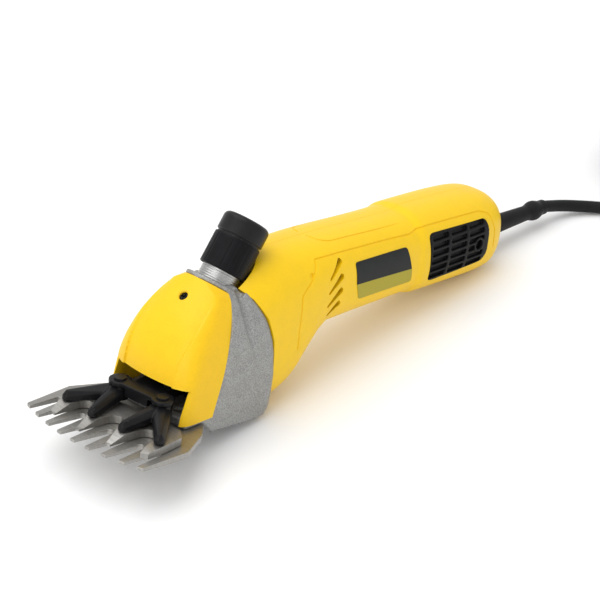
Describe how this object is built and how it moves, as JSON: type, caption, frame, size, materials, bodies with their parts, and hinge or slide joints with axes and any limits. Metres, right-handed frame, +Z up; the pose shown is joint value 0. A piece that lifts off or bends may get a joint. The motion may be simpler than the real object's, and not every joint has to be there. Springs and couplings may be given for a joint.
{
  "type": "sheep shears",
  "caption": "Electric wool shears: motor barrel, gear head, tension knob, and a cutter swinging across a toothed comb.",
  "frame": {"origin": "centre of the footprint of the tool without its cord, on the table it lies on", "axes": "+Y from the comb to the cord end, +Z up from the table, +X towards the tool's left; the comb points to -Y and is raised off the table"},
  "size_m": [0.1292, 0.5113, 0.0994],
  "materials": {
    "housing_yellow": "gloss moulded nylon, bright warm yellow",
    "cover_yellow": "gloss yellow paint on cast alloy",
    "cast_aluminium": "bare sand-cast aluminium with a fine grain",
    "black_plastic": "satin black moulded plastic",
    "knob_grey": "satin black moulded plastic",
    "black_steel": "blackened steel, satin",
    "comb_steel": "ground tool steel, fine marks",
    "plain_steel": "machined steel",
    "core_steel": "laminated electrical steel",
    "copper": "enamelled copper wire",
    "graphite": "dull carbon",
    "plate_aluminium": "machined aluminium",
    "brown_board": "moulded phenolic",
    "capacitor_yellow": "dipped resin",
    "label": "printed foil, dark grey over olive yellow",
    "boot_rubber": "satin black rubber",
    "cord_rubber": "matte black rubber sheath",
    "tie_plastic": "black strap",
    "plug_brass": "nickelled brass"
  },
  "bodies": {
    "housing": {"brush_bridge": "brown_board", "brush_holders": "copper", "brush_springs": "plain_steel", "carbon_brushes": "graphite", "clamp_screws": "plain_steel", "clamp_seat": "brown_board", "coil_tie": "tie_plastic", "comb": "comb_steel", "comb_screws": "plain_steel", "cord": "cord_rubber", "cord_boot": "boot_rubber", "cord_clamp": "brown_board", "cord_coil": "cord_rubber", "cover_screw": "black_steel", "crank_front_bearing": "plain_steel", "crank_rear_bearing": "plain_steel", "field_windings": "copper", "front_cover": "cover_yellow", "gear_head": "cast_aluminium", "gear_plate": "plate_aluminium", "grille_screws": "black_steel", "housing_screws": "plain_steel", "inner_lead": "cord_rubber", "left_grille": "black_plastic", "left_housing": "housing_yellow", "motor_front_bearing": "plain_steel", "motor_rear_bearing": "plain_steel", "pivot_post": "plain_steel", "plug_body": "cord_rubber", "plug_pins": "plug_brass", "rating_plate": "label", "right_grille": "black_plastic", "right_housing": "housing_yellow", "stator_core": "core_steel", "suppression_capacitor": "capacitor_yellow", "switch_body": "black_plastic", "tension_neck": "plain_steel"},
    "armature": {"armature_shaft": "plain_steel", "pinion": "plain_steel", "cooling_fan": "black_plastic", "armature_core": "core_steel", "armature_windings": "copper", "commutator": "copper"},
    "crank": {"crankshaft": "plain_steel", "driven_gear": "plain_steel"},
    "roller": {"crank_roller": "plain_steel"},
    "fork": {"fork_lever": "black_steel", "left_yoke": "black_steel", "right_yoke": "black_steel", "yoke_pins": "black_steel", "cutter": "comb_steel"},
    "pressure_pin": {"tension_pin": "plain_steel", "tension_spring": "plain_steel"},
    "knob": {"tension_knob": "black_plastic", "knob_cap": "knob_grey", "tension_nut": "plain_steel"},
    "switch_slider": {"slide_button": "black_plastic", "slide_rod": "black_plastic"}
  },
  "joints": [
    {"name": "motor_spin", "type": "hinge", "parent": "housing", "child": "armature", "pos_m": [0, 0.03709, 0.04066], "axis": [0, 0.9857, -0.1688], "continuous": true},
    {"name": "crank_spin", "type": "hinge", "parent": "housing", "child": "crank", "pos_m": [0, -0.04548, 0.03248], "axis": [0, 0.9857, -0.1688], "continuous": true},
    {"name": "roller_spin", "type": "hinge", "parent": "crank", "child": "roller", "pos_m": [-0.0019, -0.05299, 0.03599], "axis": [0, 0.9857, -0.1688], "continuous": true},
    {"name": "fork_swing", "type": "hinge", "parent": "housing", "child": "fork", "pos_m": [0, -0.0785, 0.01734], "axis": [0, 0.1688, 0.9857], "range_deg": [-12.5, 3.1]},
    {"name": "tension_travel", "type": "slide", "parent": "housing", "child": "pressure_pin", "axis": [0, 0.6999, 0.7143], "range_m": [0, 0.003]},
    {"name": "knob_turn", "type": "hinge", "parent": "pressure_pin", "child": "knob", "pos_m": [0, -0.04947, 0.0737], "axis": [0, 0.6999, 0.7143], "range_deg": [0, 720]},
    {"name": "switch_slide", "type": "slide", "parent": "housing", "child": "switch_slider", "axis": [0, 0.9857, -0.1688], "range_m": [0, 0.006]}
  ],
  "couplings": [
    {"joint": "crank_spin", "follows": "motor_spin", "ratio": -0.22222},
    {"joint": "knob_turn", "follows": "tension_travel", "rad_per_m": 4188.8}
  ]
}
